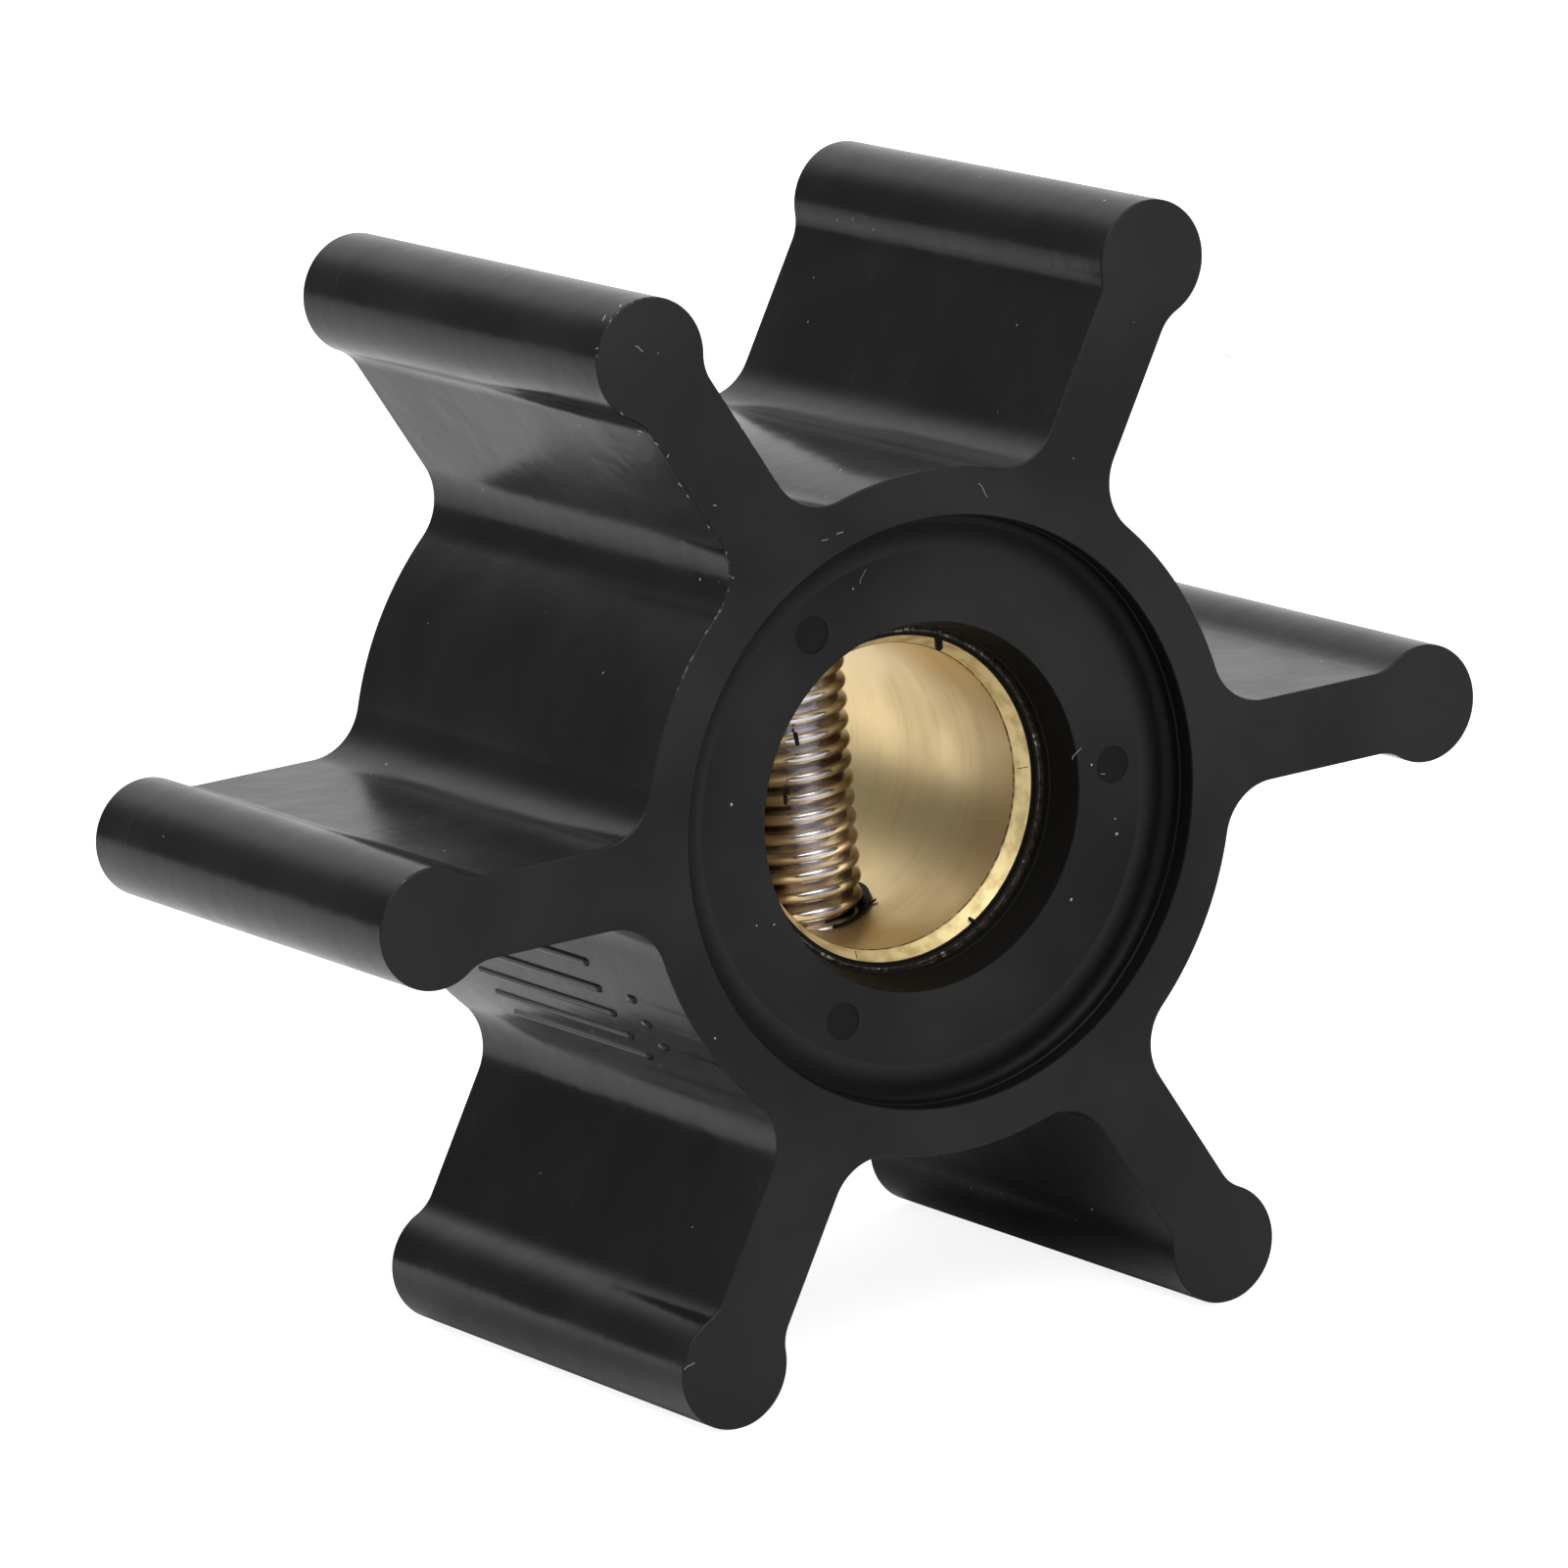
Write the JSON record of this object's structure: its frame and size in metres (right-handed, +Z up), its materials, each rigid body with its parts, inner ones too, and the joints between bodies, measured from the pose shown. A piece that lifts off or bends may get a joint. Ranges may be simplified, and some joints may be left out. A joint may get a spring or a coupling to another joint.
{
  "type": "rubber pump impeller",
  "caption": "Flexible rubber pump impeller with beaded radial vanes, moulded round a brass bush whose bore is crossed by a threaded drive screw.",
  "frame": {"origin": "middle of the shaft bore, half way between the two end faces", "axes": "+Y along the shaft bore from the front face to the back face, +Z up, one vane along +X, standing on two vane tips"},
  "size_m": [0.051, 0.0224, 0.0448],
  "materials": {
    "rubber": "satin black moulded nitrile rubber",
    "brass": "turned, satin",
    "steel": "bright stainless thread"
  },
  "bodies": {
    "root": {"rubber_impeller": "rubber", "brass_bush": "brass", "drive_screw": "steel"}
  },
  "joints": []
}
